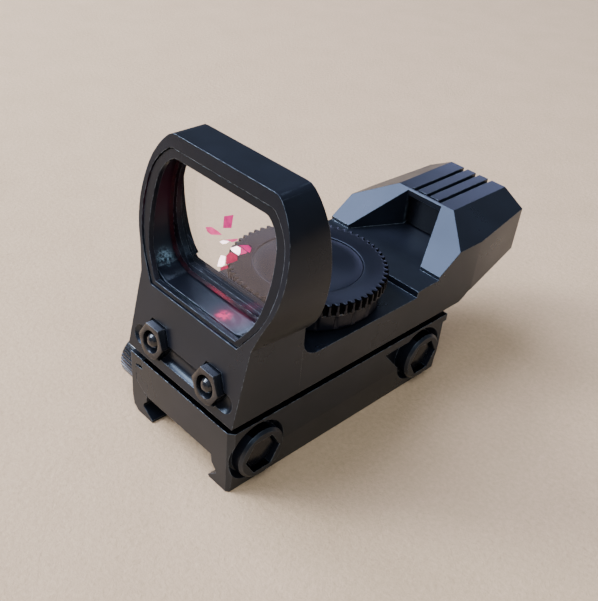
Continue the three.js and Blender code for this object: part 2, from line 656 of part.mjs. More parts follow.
// flat lead from the board through the passage to the back of the emitter
const leadPath = [
  [56.6, 3.3], [59.5, 3.4], [65.0, 4.6], [68.8, 6.1], [72.0, 6.4], [77.2, 6.4], [78.5, 7.2], [78.7, 12.6],
];
const leadThickness = 0.22;
const leadOutline = leadPath.map(([y, z]) => [y, z]);
for (let i = leadPath.length - 1; i >= 0; i -= 1) {
  const [y, z] = leadPath[i];
  const rising = i >= leadPath.length - 2;
  const last = i === leadPath.length - 1;
  const beside = [y - leadThickness, z + (last ? 0 : 0.1)];
  const above = [y - 0.04, z + leadThickness];
  leadOutline.push(rising ? beside : above);
}
add('led_lead', prism('x', leadOutline, -3.9, -2.3), brass);

// ------------------------------------------------------------------ base and clamp
const seatHeight = -seatDrop;
const jawReach = 8.4;
const vApex = 11.2;

function makeBase() {
  const profile = [
    [halfBody - 0.5, baseBottom],
    [halfBody, baseBottom + 6.4],
    [halfBody, baseTop],
    [-10.9, baseTop],
    [-10.9, -3.75],
    [-12.85, -3.95],
    [-12.85, -7.5],
    [-10.9, -9.0],
    [-9.7, -9.3],
    [-9.7, seatHeight],
    [9.7, seatHeight],
    [9.9, -11.3],
    [vApex, -12.6],
    [vApex, -13.2],
    [jawReach + 0.6, baseBottom + 0.4],
    [jawReach + 0.9, baseBottom],
  ];
  let base = prism('y', profile, 0, baseLength + 0.3);
  base = base.subtract(block(-20, 20, baseLength - 0.8, 70, -20, -3.2));
  for (const [i, y] of boltStations.entries()) {
    const ring = turned('x', [0, y - 0.7, boltHeight + 0.6], [
      [0, 13.4], [bossRadius + 0.1, 13.4], [bossRadius + 1.2, 15.05], [bossRadius + 1.2, 30], [0, 30],
    ], 40);
    const boss = rod('x', [0, y, boltHeight], bossRadius, 0, 40, 36);
    base = base.subtract(ring.subtract(boss));
    if (i === 1) {
      const ramp = [[y - 11.8, -3.4], [y, -3.4], [y, -13.0], [y - 3.4, -13.0]];
      base = base.subtract(prism('x', ramp, 12.8, 30).subtract(boss));
    }
    const lip = turned('x', [0, y, boltHeight], [
      [0, 11.4], [bossRadius, 11.4], [bossRadius, bossFace - 0.5],
      [bossRadius - 0.5, bossFace], [0, bossFace],
    ], 36);
    base = base.add(lip);
    base = base.subtract(hexRod('x', [y, boltHeight], 6.9, 12.5, 30));
    base = base.subtract(rod('x', [0, y, boltHeight], boltRadius + 0.35, -20, 30, 28));
  }
  for (const y of housingScrews) {
    base = base.subtract(rod('z', [0, y, 0], 3.25, -12, -6.6, 32));
    base = base.subtract(rod('z', [0, y, 0], 1.75, -12, 0, 24));
  }
  // bevel on the front corner of the fixed side
  const bevel = [
    [halfBody - 1.1, -1], [halfBody + 2, -1], [halfBody + 2, 0.9], [halfBody, 0.9], [halfBody - 1.1, 0],
  ];
  base = base.subtract(prism('z', bevel, -20, 0));
  return base;
}
add('base_mount', makeBase(), anodised);

let spacer = block(-13.7, 13.7, 1.1, baseLength - 0.9, baseTop + gap, -gap);
for (const y of housingScrews) spacer = spacer.subtract(rod('z', [0, y, 0], 1.75, -3, 1, 24));
add('base_spacer', spacer, rubber);

for (const [word, y, top] of [['front', housingScrews[0], 6.6], ['rear', housingScrews[1], 4.6]]) {
  let screw = turned('z', [0, y, 0], [
    [0, -9.9 + 0.4], [2.6, -9.5], [2.9, -9.1], [2.9, -6.95], [1.4, -6.95], [1.4, top], [0, top],
  ], 28);
  screw = screw.subtract(prism('z', polygon(6, 1.45, 0, 0, y), -12, -8.2));
  add('base_screw_' + word, screw, blackSteel);
}

function makeJaw() {
  const profile = [
    [-14.7, -1.7],
    [-14.7, -12.4],
    [-14.3, -14.6],
    [-13.0, baseBottom],
    [-jawReach, baseBottom],
    [-jawReach, baseBottom + 0.5],
    [-vApex, -13.2],
    [-vApex, -12.6],
    [-10.05, -11.4],
    [-10.05, -9.65],
    [-11.1, -9.35],
    [-13.3, -7.7],
    [-13.3, -3.8],
    [-11.3, -3.45],
    [-11.3, -1.7],
  ];
  let jaw = prism('y', profile, 0.2, baseLength - 0.8);
  for (const y of boltStations) {
    jaw = jaw.subtract(rod('x', [0, y, boltHeight], boltRadius + 0.4, -20, -5, 28));
  }
  return jaw;
}
add('clamp_jaw', makeJaw(), anodised);

for (const [i, word] of ['front', 'rear'].entries()) {
  const y = boltStations[i];
  let bolt = hexRod('x', [y, boltHeight], 6.1, 12.8, 14.9);
  bolt = bolt.add(rod('x', [0, y, boltHeight], boltRadius, -19.6, 13.2, 28));
  bolt = bolt.add(turned('x', [0, y, boltHeight], [
    [0, -20.4], [boltRadius - 0.5, -20.4], [boltRadius, -19.9], [boltRadius, -19.4], [0, -19.4],
  ], 28));
  add('clamp_bolt_' + word, bolt, blackSteel);
  const knurl = toothed(40, 5.15, 4.85, 0.45).map(([u, v]) => [u + y, v + boltHeight]);
  let nut = prism('x', knurl, -21.4, -16.6);
  nut = nut.intersect(turned('x', [0, y, boltHeight], [
    [0, -21.4], [4.5, -21.4], [5.3, -20.7], [5.3, -17.2], [4.9, -16.6], [0, -16.6],
  ], 40));
  nut = nut.add(rod('x', [0, y, boltHeight], 4.3, -17.0, -15.0, 36));
  nut = nut.subtract(rod('x', [0, y, boltHeight], boltRadius + 0.3, -22, -14, 28));
  add('thumb_nut_' + word, nut, blackSteel);
}

export default group;
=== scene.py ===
"""Looks for the red dot finder: materials, fine edges, dial, cap, lens, reticle light, floor and light."""
import json
import math

import bmesh
import bpy
from mathutils import Matrix, Vector


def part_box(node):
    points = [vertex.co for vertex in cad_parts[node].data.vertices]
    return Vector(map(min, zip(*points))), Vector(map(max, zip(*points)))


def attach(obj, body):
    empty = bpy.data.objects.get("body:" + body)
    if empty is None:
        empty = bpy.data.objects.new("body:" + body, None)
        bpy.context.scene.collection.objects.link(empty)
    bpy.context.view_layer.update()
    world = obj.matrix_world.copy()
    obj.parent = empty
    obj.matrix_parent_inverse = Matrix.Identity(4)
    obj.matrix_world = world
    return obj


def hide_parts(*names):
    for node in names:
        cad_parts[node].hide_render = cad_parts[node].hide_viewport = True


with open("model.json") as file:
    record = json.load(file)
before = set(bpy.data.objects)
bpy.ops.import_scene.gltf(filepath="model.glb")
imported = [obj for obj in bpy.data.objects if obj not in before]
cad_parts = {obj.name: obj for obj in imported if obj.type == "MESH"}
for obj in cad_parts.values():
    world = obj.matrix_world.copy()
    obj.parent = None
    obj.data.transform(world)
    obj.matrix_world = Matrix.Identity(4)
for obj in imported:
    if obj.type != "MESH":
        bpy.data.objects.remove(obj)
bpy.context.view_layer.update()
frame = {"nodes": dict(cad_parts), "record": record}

MM = 0.001
NODES = frame["nodes"]
BODY = "sight_body"
FLOOR_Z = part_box("base_mount")[0][2]

# ---------------------------------------------------------------- sizes and places, in mm
DIAL_Y = 2.0
DIAL_TOP = 23.6
DRUM_FOOT = 17.4
RIM_FOOT = 21.2
DIAL_RADIUS = 15.0
DIAL_TEETH = 60
TOOTH_DEPTH = 0.8
DRUM_RADIUS = 14.0
DRUM_FLUTES = 24
FLUTE_DEPTH = 0.34
CELL_FLOOR = 19.0
CELL_MOUTH = 22.95
CELL_RADIUS = 10.35
CAP_RADIUS = 10.1
CAP_FOOT = 22.95
CAP_TOP = 23.42
CAP_CROWN = 0.04
COIN_SLOT = (12.4, 1.5, 0.8)    # length, width and height of what is cut away
COIN_SLOT_TURN = 135            # degrees
LENS_LEAN = 0.14
LENS_FRONT_Y = -21.77           # front face of the lens at z = 0, before its lean
LENS_THICK = 1.7
SILL_Z = 24.4
HOOD_REAR_Y = -12.0
HEEL_FRONT_Y = -15.05
HEEL_REAR_Y = -13.65
RETICLE_BACK = -0.04            # the light lies between these two, measured from the front of the lens
RETICLE_FRONT = -0.07
EDGE_ROUND = 0.16
SAME_PLACE = 0.000004           # metres: vertices this close are one

# ---------------------------------------------------------------- tones of the black finish, its painted highlights and its painted shade
BLACK_BASE = (0.0072, 0.0082, 0.0125)
# edge colour: part wear, part painted highlight
EDGE_WEAR_AND_HIGHLIGHT = (0.20, 0.235, 0.27, 1)
# painted bluish reflection at the foot of the bore
PAINTED_GLINT_BLUE = (0.22, 0.34, 0.40, 1)
# painted shade of the joint between the base and the housing
JOINT_PAINTED_SHADE = (0.001, 0.001, 0.0013, 1)
SATIN = 0.31
SHEEN = 0.55
# less sheen on the front faces, as painted shade
FRONT_SHEEN = 0.40
GRAIN_DEPTH = 0.00003


# ---------------------------------------------------------------- materials
class Mat:
    """A node material with short calls to add nodes and links."""

    def __init__(self, name):
        self.mat = bpy.data.materials.new(name)
        self.mat.use_nodes = True
        self.tree = self.mat.node_tree
        self.bsdf = self.tree.nodes["Principled BSDF"]
        self.place = self.add("ShaderNodeTexCoord").outputs["Object"]

    def add(self, kind, inputs=None, **settings):
        node = self.tree.nodes.new(kind)
        for key, value in settings.items():
            setattr(node, key, value)
        for key, value in (inputs or {}).items():
            if isinstance(value, bpy.types.NodeSocket):
                self.tree.links.new(value, node.inputs[key])
            else:
                node.inputs[key].default_value = value
        return node

    def set(self, **values):
        for key, value in values.items():
            socket = self.bsdf.inputs[key.replace("_", " ")]
            if isinstance(value, bpy.types.NodeSocket):
                self.tree.links.new(value, socket)
            else:
                socket.default_value = value
        return self

    def noise(self, scale, detail=3.0, rough=0.5, vector=None):
        return self.add("ShaderNodeTexNoise", {
            "Vector": vector or self.place, "Scale": scale, "Detail": detail, "Roughness": rough,
        }).outputs["Fac"]

    def stretched(self, scale):
        return self.add("ShaderNodeMapping", {"Vector": self.place, "Scale": scale}).outputs["Vector"]

    def ramp(self, fac, stops):
        node = self.add("ShaderNodeValToRGB", {"Fac": fac})
        elements = node.color_ramp.elements
        while len(elements) < len(stops):
            elements.new(0.5)
        for element, (place, value) in zip(elements, stops):
            element.position = place
            element.color = (*value, 1) if len(value) == 3 else value
        return node.outputs["Color"]

    def remap(self, fac, low, high, start=0.0, end=1.0):
        return self.add("ShaderNodeMapRange", {
            "Value": fac, "From Min": start, "From Max": end, "To Min": low, "To Max": high,
        }).outputs["Result"]

    def math(self, operation, a, b):
        return self.add("ShaderNodeMath", {0: a, 1: b}, operation=operation).outputs[0]

    def bump(self, height, strength, distance):
        return self.add("ShaderNodeBump", {
            "Height": height, "Strength": strength, "Distance": distance,
        }).outputs["Normal"]

    def times(self, *factors):
        """The product of several values."""
        made = factors[0]
        for factor in factors[1:]:
            made = self.math("MULTIPLY", made, factor)
        return made

    def rounded(self, base, shine):
        """Edges rounded by a small radius and made a little lighter and glossier, part wear and part painted
        highlight, under a fine grain.
        """
        soft = self.add("ShaderNodeBevel", {"Radius": EDGE_ROUND * MM}, samples=8).outputs["Normal"]
        true = self.add("ShaderNodeNewGeometry").outputs["True Normal"]
        turn = self.add("ShaderNodeVectorMath", {0: soft, 1: true}, operation="DOT_PRODUCT").outputs["Value"]
        edge = self.remap(turn, 1.0, 0.0, 0.80, 0.995)
        # painted highlight with some wear: convex and concave edges both turn lighter and glossier
        wear_and_highlight_mask = self.times(edge, self.remap(self.noise(900, 4, 0.7), 0.1, 1.0, 0.44, 0.58))
        self.set(Base_Color=self.mix(wear_and_highlight_mask, base, EDGE_WEAR_AND_HIGHLIGHT))
        self.set(Specular_IOR_Level=self.math("ADD", shine, self.times(wear_and_highlight_mask, 0.5)))
        return self.set(Normal=self.add("ShaderNodeBump", {
            "Height": self.noise(4200, 2), "Strength": 0.10, "Distance": GRAIN_DEPTH, "Normal": soft,
        }).outputs["Normal"])

    def mix(self, fac, a, b):
        return self.add("ShaderNodeMix", {0: fac, 6: a, 7: b}, data_type="RGBA").outputs[2]

    def near(self, point_mm, radius_mm):
        """1 at a point of the object, falling smoothly to 0 at the radius."""
        away = self.add("ShaderNodeVectorMath", {
            0: self.place, 1: tuple(c * MM for c in point_mm),
        }, operation="DISTANCE").outputs["Value"]
        node = self.add("ShaderNodeMapRange", {
            "Value": away, "From Min": 0.0, "From Max": radius_mm * MM, "To Min": 1.0, "To Max": 0.0,
        }, interpolation_type="SMOOTHERSTEP")
        return node.outputs["Result"]


def scaled(color, factor):
    """A colour made darker or lighter."""
    return tuple(min(1.0, c * factor) for c in color)


def anodised(name, base=BLACK_BASE, dulled=1.0):
    """Black anodised aluminium: faint cloudy tone and slight handling marks, still without its edges."""
    m = Mat(name)
    m.normal = m.add("ShaderNodeSeparateXYZ", {"Vector": m.add("ShaderNodeNewGeometry").outputs["Normal"]})
    m.where = m.add("ShaderNodeSeparateXYZ", {"Vector": m.place})
    # painted shade: the faces that face the front are given a little less sheen than the rest
    front = m.math("LESS_THAN", m.normal.outputs["Y"], -0.85)
    m.shine = m.remap(front, SHEEN * dulled, FRONT_SHEEN * dulled)
    m.tone = m.ramp(m.noise(110, 4), [(0.3, scaled(base, 0.75)), (0.7, scaled(base, 1.3))])
    m.set(Metallic=0.1, Specular_Tint=(0.73, 0.86, 1.0, 1))
    m.set(Roughness=m.remap(m.noise(70, 5, 0.6), SATIN - 0.06, SATIN + 0.06, 0.3, 0.7))
    return m


def wear_and_highlight_edge(name, base, bare, low, high, rough=0.28):
    """The edge of an anodised piece: black with a broken line of bare metal, part wear and part painted
    highlight.
    """
    m = Mat(name)
    patch = m.remap(m.noise(520, 5, 0.65), 0.0, 1.0, low, high)
    m.set(Base_Color=m.mix(patch, (*base, 1), (*bare, 1)))
    m.set(Metallic=m.remap(patch, 0.3, 0.9))
    m.set(Roughness=m.remap(m.noise(900, 3), rough - 0.05, rough + 0.1))
    m.set(Normal=m.bump(m.noise(3000, 2), 0.1, GRAIN_DEPTH))
    return m.mat


def plain(name, base, rough, metal, grain_scale=1500, grain=0.12, shine=0.5):
    """One tone with a slight cloud, a slight change of gloss and a fine grain."""
    m = Mat(name)
    m.set(Specular_IOR_Level=shine)
    m.set(Base_Color=m.ramp(m.noise(150, 3), [(0.3, scaled(base, 0.8)), (0.7, scaled(base, 1.2))]))
    m.set(Metallic=metal, Roughness=m.remap(m.noise(600, 3), rough - 0.06, rough + 0.08))
    m.set(Normal=m.bump(m.noise(grain_scale, 2), grain, GRAIN_DEPTH))
    return m.mat


def housing_metal():
    """The housing: matt round the lens, painted shade high on the hood and at the left of the sill, a
    painted bluish reflection at the foot of the bore and painted red light near the lens.
    """
    m = anodised("black_anodised_housing")
    x, y, z = (m.where.outputs[axis] for axis in "XYZ")
    facing_x, facing_y, facing_z = (m.normal.outputs[axis] for axis in "XYZ")
    in_hood = m.math("LESS_THAN", y, HOOD_REAR_Y * MM)
    # matt black paint on the ring that the lens rests against
    lens_rear = m.math("ADD", m.times(z, LENS_LEAN), (LENS_FRONT_Y + LENS_THICK - 0.1) * MM)
    paint = m.times(
        m.math("LESS_THAN", facing_y, -0.9), m.math("GREATER_THAN", y, lens_rear),
        in_hood, m.math("GREATER_THAN", z, SILL_Z * MM),
    )
    # painted shade: less sheen towards the top of the hood, and on the sill at its left end
    high = m.times(in_hood, m.remap(z, 0.0, 0.5, 26 * MM, 38 * MM))
    sill = m.times(
        in_hood, m.math("GREATER_THAN", facing_z, 0.5), m.remap(x, 0.75, 0.0, -3 * MM, 9 * MM),
        m.math("LESS_THAN", z, (SILL_Z + 2) * MM),
    )
    shine = m.times(
        m.shine, m.math("SUBTRACT", 1.0, high), m.remap(paint, 1.0, 0.1), m.math("SUBTRACT", 1.0, sill),
    )
    # a painted bluish reflection in small spots at the left foot of the bore
    painted_glint_mask = m.times(m.near((-13.6, -21.6, 26.5), 2.6), m.remap(m.noise(1500, 4, 0.8), 0.0, 1.0, 0.46, 0.6))
    m.rounded(m.mix(painted_glint_mask, m.tone, PAINTED_GLINT_BLUE), shine)
    # red light on the sill and on the left wall of the bore
    spot = m.times(m.near((4.4, -22.6, SILL_Z), 2.2), m.remap(m.noise(900, 4), 0.15, 1.5, 0.38, 0.6))
    wide = m.near((5.6, -21.6, SILL_Z), 5.5)
    wall = m.times(
        m.near((-16.0, -20.0, 37.0), 9.0), m.math("GREATER_THAN", facing_x, 0.5),
        m.math("LESS_THAN", facing_z, 0.5),
    )
    light = m.math("ADD", m.times(spot, 0.9), m.times(wide, 0.10))
    light = m.math("ADD", light, m.times(wall, 0.012))
    m.set(Emission_Color=(1.0, 0.0, 0.16, 1), Emission_Strength=light)
    return m.mat


def base_metal():
    """The base; its upper faces sit in the dark of the joint and carry painted shade: near-black, with
    little sheen.
    """
    m = anodised("black_anodised_base")
    up = m.math("GREATER_THAN", m.normal.outputs["Z"], 0.9)
    m.rounded(m.mix(up, m.tone, JOINT_PAINTED_SHADE), m.times(m.shine, m.remap(up, 1.0, 0.08)))
    return m.mat


def even_metal(name, *settings):
    """The same black finish all over a piece."""
    m = anodised(name, *settings)
    return m.rounded(m.tone, m.shine).mat


BLACK = even_metal("black_anodised")
BLACK_HOUSING = housing_metal()
BLACK_BEZEL = even_metal("black_anodised_bezel", scaled(BLACK_BASE, 0.8), 0.58)
BLACK_BASE_MOUNT = base_metal()
# bevel faces of the small pieces: a broken lighter line, part wear and part painted highlight
BLACK_EDGE = wear_and_highlight_edge("black_anodised_edge", (0.012, 0.012, 0.013), (0.16, 0.17, 0.19), 0.55, 0.72)
OXIDE = plain("black_oxide_steel", (0.0075, 0.0085, 0.012), 0.24, 0.15, 1500, 0.04, shine=0.65)
STEEL = plain("bright_steel", (0.6, 0.61, 0.63), 0.25, 1.0)
BRASS = plain("contact_brass", (0.7, 0.5, 0.2), 0.3, 1.0)
RUBBER = plain("gasket_rubber", (0.002, 0.002, 0.0022), 0.7, 0.0, shine=0.08)
BOARD = plain("circuit_board", (0.02, 0.14, 0.05), 0.4, 0.0)
CHIP = plain("chip_plastic", (0.015, 0.015, 0.015), 0.45, 0.0)
FILM = plain("lead_film", (0.5, 0.25, 0.05), 0.3, 0.0)
SMOKED = plain("smoked_window", (0.003, 0.003, 0.004), 0.14, 0.0, 400, 0.02)


def dial_metal():
    """Turned dial: concentric tool marks give a radial sheen."""
    m = Mat("turned_dial")
    rings = m.stretched((1, 1, 0))
    m.set(Base_Color=m.ramp(m.noise(240, 4), [
        (0.3, (0.0042, 0.0046, 0.0085)), (0.7, (0.0058, 0.0062, 0.0110)),
    ]))
    m.set(Metallic=0.06, Anisotropic=0.65, Specular_Tint=(0.76, 0.84, 1.0, 1), Specular_IOR_Level=0.34)
    m.set(Roughness=m.remap(m.noise(130, 4, 0.6, rings), 0.30, 0.42, 0.3, 0.7))
    tangent = m.add("ShaderNodeTangent", direction_type="RADIAL", axis="Z").outputs["Tangent"]
    m.set(Tangent=tangent)
    m.set(Normal=m.bump(m.noise(3500, 2), 0.05, 0.00002))
    return m.mat


TURNED = dial_metal()
# painted shade in the gaps between the dial's teeth: near-black and without sheen
GAP = plain("dial_gap_painted_shade", (0.0012, 0.0012, 0.0015), 0.6, 0.0, shine=0.04)
# the lower ends of the dial's teeth: lighter, part wear and part painted highlight
TOOTH = wear_and_highlight_edge("dial_tooth_edge", (0.012, 0.012, 0.014), (0.20, 0.21, 0.23), 0.45, 0.75, 0.26)


def lens_glass():
    """Coated glass with a faint haze."""
    m = Mat("coated_glass")
    m.set(Base_Color=(0.99, 0.985, 0.985, 1), IOR=1.5, Transmission_Weight=1.0, Specular_IOR_Level=0.8)
    m.set(Specular_Tint=(0.76, 0.72, 1.0, 1))
    m.set(Roughness=m.remap(m.noise(300, 5, 0.7), 0.0, 0.05, 0.35, 0.75))
    m.set(Normal=m.bump(m.noise(120, 2), 0.01, 0.00002))
    return m.mat


GLASS = lens_glass()


def lens_edge():
    """Ground edge of the lens: blackened, lit dark red from inside."""
    m = Mat("lens_edge")
    m.set(Base_Color=m.ramp(m.noise(600, 4), [
        (0.35, (0.003, 0.001, 0.002)), (0.65, (0.012, 0.001, 0.003)),
    ]))
    m.set(Roughness=m.remap(m.noise(900, 3), 0.35, 0.6))
    grainy = m.remap(m.noise(2600, 3, 0.7), 0.0, 1.0, 0.5, 0.66)
    hot = m.times(m.near((-0.6, -19.0, SILL_Z), 5.0), 0.7, m.remap(grainy, 0.2, 1.0))
    light = m.math("ADD", m.times(grainy, 0.045), hot)
    m.set(Emission_Color=(1.0, 0.0, 0.10, 1), Emission_Strength=light, Specular_IOR_Level=0.2)
    return m.mat


LENS_EDGE = lens_edge()


def glow(name, color, strength):
    """A glowing film with a slightly uneven brightness."""
    m = Mat(name)
    m.set(Base_Color=m.ramp(m.noise(900, 2), [(0.3, (0.02, 0.0, 0.003)), (0.7, (0.04, 0.0, 0.006))]))
    m.set(Roughness=0.5, Specular_IOR_Level=0.1, Emission_Color=(*color, 1))
    m.set(Emission_Strength=m.remap(m.noise(900, 3), strength * 0.75, strength * 1.15, 0.3, 0.7))
    return m.mat


LED_RED = glow("led_red", (1.0, 0.05, 0.08), 2.0)
RETICLE_LOOK = {
    "pink": glow("reticle_pink", (1.0, 0.0, 0.30), 0.95),
    "pale": glow("reticle_pale", (1.0, 0.06, 0.30), 1.35),
    "deep": glow("reticle_deep", (1.0, 0.0, 0.15), 0.65),
    "white": glow("reticle_white", (1.0, 0.74, 0.80), 6.0),
}

SLOT_LOOK = {
    "anodised": BLACK, "dial_metal": TURNED, "black_steel": OXIDE, "bright_steel": STEEL,
    "contact_brass": BRASS, "lead_film": FILM, "gasket_rubber": RUBBER, "board": BOARD,
    "chip_plastic": CHIP, "emitter_plastic": CHIP, "led_plastic": LED_RED, "lens_glass": GLASS,
}
SLOT_OF = {s["node"]: s["material_slot"] for s in frame["record"]["subparts"]}


def dress(obj, *materials):
    obj.data.materials.clear()
    for material in materials:
        obj.data.materials.append(material)


# ---------------------------------------------------------------- carried-over nodes
def smooth(mesh):
    for polygon in mesh.polygons:
        polygon.use_smooth = True


def weld(obj):
    obj.modifiers.new("weld", "WELD").merge_threshold = SAME_PLACE


def split_edges(obj, degrees):
    obj.modifiers.new("split", "EDGE_SPLIT").split_angle = math.radians(degrees)


def crisp(obj):
    """Flat faces stay flat and fine curves turn smooth; the corners are rounded in the material."""
    weld(obj)
    split_edges(obj, 26)
    obj.modifiers.new("weighted", "WEIGHTED_NORMAL").weight = 80
    smooth(obj.data)


def fine_edges(obj, width):
    """Corners broken by a small bevel, which takes the second material of the piece."""
    weld(obj)
    flat = obj.modifiers.new("flat", "DECIMATE")
    flat.decimate_type = "DISSOLVE"
    flat.angle_limit = math.radians(0.8)
    bevel = obj.modifiers.new("bevel", "BEVEL")
    bevel.width = width * MM
    bevel.segments = 2
    bevel.limit_method = "ANGLE"
    bevel.angle_limit = math.radians(28)
    bevel.use_clamp_overlap = True
    bevel.harden_normals = True
    bevel.material = 1
    smooth(obj.data)


EDGE = {
    "reticle_lever": 0.3,
    "apron_boss_left": 0.2, "apron_boss_right": 0.2,
    "clamp_bolt_front": 0.15, "clamp_bolt_rear": 0.15,
    "thumb_nut_front": 0.05, "thumb_nut_rear": 0.05,
}
CRISP = {
    "housing": BLACK_HOUSING, "lens_bezel": BLACK_BEZEL, "base_mount": BLACK_BASE_MOUNT,
    "clamp_jaw": BLACK, "rear_cover": BLACK,
}
for name, obj in NODES.items():
    look = SLOT_LOOK[SLOT_OF[name]]
    if name in CRISP:
        dress(obj, CRISP[name])
        crisp(obj)
    elif name in EDGE:
        dress(obj, look, BLACK_EDGE)
        fine_edges(obj, EDGE[name])
    else:
        dress(obj, look)
dress(NODES["emitter_window"], SMOKED)


# ---------------------------------------------------------------- mesh helpers
def mesh_object(name, bm, body, rounded=True):
    bmesh.ops.recalc_face_normals(bm, faces=bm.faces)
    mesh = bpy.data.meshes.new(name)
    bm.to_mesh(mesh)
    bm.free()
    obj = bpy.data.objects.new(name, mesh)
    bpy.context.scene.collection.objects.link(obj)
    if rounded:
        smooth(mesh)
    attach(obj, body)
    return obj


def slab(name, near, far, material):
    """A flat piece of the body between two outlines with as many points."""
    bm = bmesh.new()
    near = [bm.verts.new(p) for p in near]
    far = [bm.verts.new(p) for p in far]
    bm.faces.new(near)
    bm.faces.new(list(reversed(far)))
    for i in range(len(near)):
        j = (i + 1) % len(near)
        bm.faces.new((far[i], far[j], near[j], near[i]))
    obj = mesh_object(name, bm, BODY, rounded=False)
    dress(obj, material)


def turned(count, profile):
    """A piece turned about the dial's axis, from heights and radii; a radius may change round the ring."""
    bm = bmesh.new()
    rings = []
    for z, radius in profile:
        ring = []
        for i in range(count):
            a = 2 * math.pi * i / count
            r = radius(i) if callable(radius) else radius
            ring.append(bm.verts.new((r * math.cos(a) * MM, (DIAL_Y + r * math.sin(a)) * MM, z * MM)))
        rings.append(ring)
    foot, top = (bm.verts.new((0, DIAL_Y * MM, profile[end][0] * MM)) for end in (0, -1))
    for i in range(count):
        j = (i + 1) % count
        bm.faces.new((foot, rings[0][j], rings[0][i]))
        for low, high in zip(rings, rings[1:]):
            bm.faces.new((low[i], low[j], high[j], high[i]))
        bm.faces.new((rings[-1][i], rings[-1][j], top))
    return bm


def smoothstep(start, end, x):
    """0 up to the start, 1 from the end on, and a smooth rise between."""
    t = min(1.0, max(0.0, (x - start) / (end - start)))
    return t * t * (3 - 2 * t)


# ---------------------------------------------------------------- dial and cap
def make_dial():
    """A toothed rim on a fluted drum, open in the middle for the coin cell and its cap."""
    per_tooth = 10
    count = DIAL_TEETH * per_tooth
    gap_shape = [0.0, 0.0, 0.15, 0.85, 1.0, 1.0, 1.0, 0.85, 0.15, 0.0]
    root = DIAL_RADIUS - TOOTH_DEPTH

    def flute_at(i):
        phase = (i / count * DRUM_FLUTES) % 1.0
        return 1.0 - smoothstep(0.0, 0.16, abs(phase - 0.5))

    def rim(tooth, gap):
        return lambda i: tooth + (gap - tooth) * gap_shape[i % per_tooth]

    def drum(radius, depth):
        return lambda i: radius - depth * flute_at(i)

    obj = mesh_object("turned_dial_knob", turned(count, [
        (DRUM_FOOT + 0.05, 8.0),
        (DRUM_FOOT, DRUM_RADIUS - 0.55),
        (DRUM_FOOT + 0.12, DRUM_RADIUS - 0.25),
        (DRUM_FOOT + 0.4, drum(DRUM_RADIUS - 0.02, 0.06)),
        (DRUM_FOOT + 0.8, drum(DRUM_RADIUS, FLUTE_DEPTH)),
        (RIM_FOOT - 0.7, drum(DRUM_RADIUS, FLUTE_DEPTH)),
        (RIM_FOOT - 0.25, drum(DRUM_RADIUS, 0.05)),
        (RIM_FOOT - 0.05, DRUM_RADIUS + 0.02),
        (RIM_FOOT, rim(DIAL_RADIUS - 0.45, DIAL_RADIUS - 0.55)),
        (RIM_FOOT + 0.06, rim(DIAL_RADIUS - 0.15, DIAL_RADIUS - 0.28)),
        (RIM_FOOT + 0.25, rim(DIAL_RADIUS - 0.02, DIAL_RADIUS - 0.38)),
        (RIM_FOOT + 0.75, rim(DIAL_RADIUS, root + 0.22)),
        (RIM_FOOT + 1.05, rim(DIAL_RADIUS, root)),
        (DIAL_TOP - 0.18, rim(DIAL_RADIUS, root)),
        (DIAL_TOP - 0.05, rim(DIAL_RADIUS - 0.06, root - 0.03)),
        (DIAL_TOP, rim(DIAL_RADIUS - 0.2, root - 0.12)),
        (DIAL_TOP + 0.01, root - 0.35),
        (DIAL_TOP + 0.02, 12.6),
        (DIAL_TOP + 0.01, CAP_RADIUS + 0.4),
        (DIAL_TOP - 0.03, CAP_RADIUS + 0.22),
        (DIAL_TOP - 0.1, CAP_RADIUS + 0.12),
        (DIAL_TOP - 0.25, CAP_RADIUS + 0.1),
        (CELL_MOUTH, CAP_RADIUS + 0.1),
        (CELL_MOUTH, CELL_RADIUS),
        (CELL_FLOOR, CELL_RADIUS),
    ]), "dial")
    dress(obj, TURNED, TOOTH, GAP)
    for polygon in obj.data.polygons:
        x, y, z = (c / MM for c in polygon.center)
        r = math.hypot(x, y - DIAL_Y)
        # the gaps between the teeth take the painted shade
        if RIM_FOOT + 0.5 < z < DIAL_TOP - 0.02 and root - 0.1 < r < DIAL_RADIUS - 0.06:
            polygon.material_index = 2
        # the lower ends of the teeth: part wear and part painted highlight
        if r > DIAL_RADIUS - 0.5 and RIM_FOOT - 0.02 < z < RIM_FOOT + 0.5:
            polygon.material_index = 1
    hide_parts("dial_knob")
    split_edges(obj, 42)


